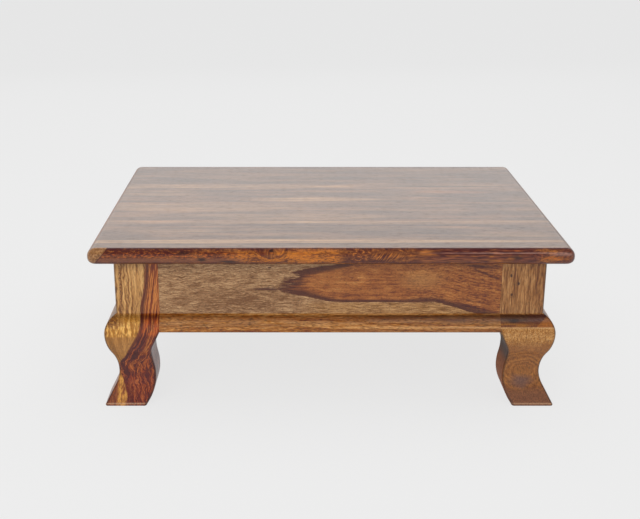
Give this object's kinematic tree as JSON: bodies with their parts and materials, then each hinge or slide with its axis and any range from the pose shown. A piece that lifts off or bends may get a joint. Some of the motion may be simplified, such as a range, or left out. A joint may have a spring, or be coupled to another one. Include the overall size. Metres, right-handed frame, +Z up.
{
  "type": "bajot low table",
  "caption": "Low rectangular solid wood bajot table with an overhanging edge-glued top, plain aprons, a rounded rail moulding and short cabriole legs with flared feet.",
  "frame": {"origin": "on the floor, below the centre of the table", "axes": "+X along the long side to the right, +Y to the back (the front faces -Y), +Z up"},
  "size_m": [0.614, 0.457, 0.22],
  "materials": {
    "top_board_1": "clear satin lacquer on sheesham",
    "top_board_2": "clear satin lacquer on sheesham",
    "top_board_3": "clear satin lacquer on sheesham",
    "top_board_4": "clear satin lacquer on sheesham",
    "leg_front_left": "clear satin lacquer on sheesham",
    "leg_front_right": "clear satin lacquer on sheesham",
    "leg_back_left": "clear satin lacquer on sheesham",
    "leg_back_right": "clear satin lacquer on sheesham",
    "apron_front": "clear satin lacquer on sheesham",
    "apron_back": "clear satin lacquer on sheesham",
    "apron_left": "clear satin lacquer on sheesham",
    "apron_right": "clear satin lacquer on sheesham",
    "moulding_front": "clear satin lacquer on sheesham",
    "moulding_back": "clear satin lacquer on sheesham",
    "moulding_left": "clear satin lacquer on sheesham",
    "moulding_right": "clear satin lacquer on sheesham",
    "corner_block_front_left": "planed sheesham, thin coat of clear lacquer",
    "corner_block_front_right": "planed sheesham, thin coat of clear lacquer",
    "corner_block_back_left": "planed sheesham, thin coat of clear lacquer",
    "corner_block_back_right": "planed sheesham, thin coat of clear lacquer",
    "batten_left": "planed sheesham, thin coat of clear lacquer",
    "batten_right": "planed sheesham, thin coat of clear lacquer",
    "board_dowels": "plain beech, unfinished",
    "moulding_dowels": "plain beech, unfinished",
    "screws": "zinc plated steel"
  },
  "bodies": {
    "root": {"top_board_1": "top_board_1", "top_board_2": "top_board_2", "top_board_3": "top_board_3", "top_board_4": "top_board_4", "leg_front_left": "leg_front_left", "leg_front_right": "leg_front_right", "leg_back_left": "leg_back_left", "leg_back_right": "leg_back_right", "apron_front": "apron_front", "apron_back": "apron_back", "apron_left": "apron_left", "apron_right": "apron_right", "moulding_front": "moulding_front", "moulding_back": "moulding_back", "moulding_left": "moulding_left", "moulding_right": "moulding_right", "corner_block_front_left": "corner_block_front_left", "corner_block_front_right": "corner_block_front_right", "corner_block_back_left": "corner_block_back_left", "corner_block_back_right": "corner_block_back_right", "batten_left": "batten_left", "batten_right": "batten_right", "board_dowels": "board_dowels", "moulding_dowels": "moulding_dowels", "batten_screws": "screws", "corner_block_screws": "screws", "top_screws": "screws", "moulding_screws": "screws"}
  },
  "joints": []
}
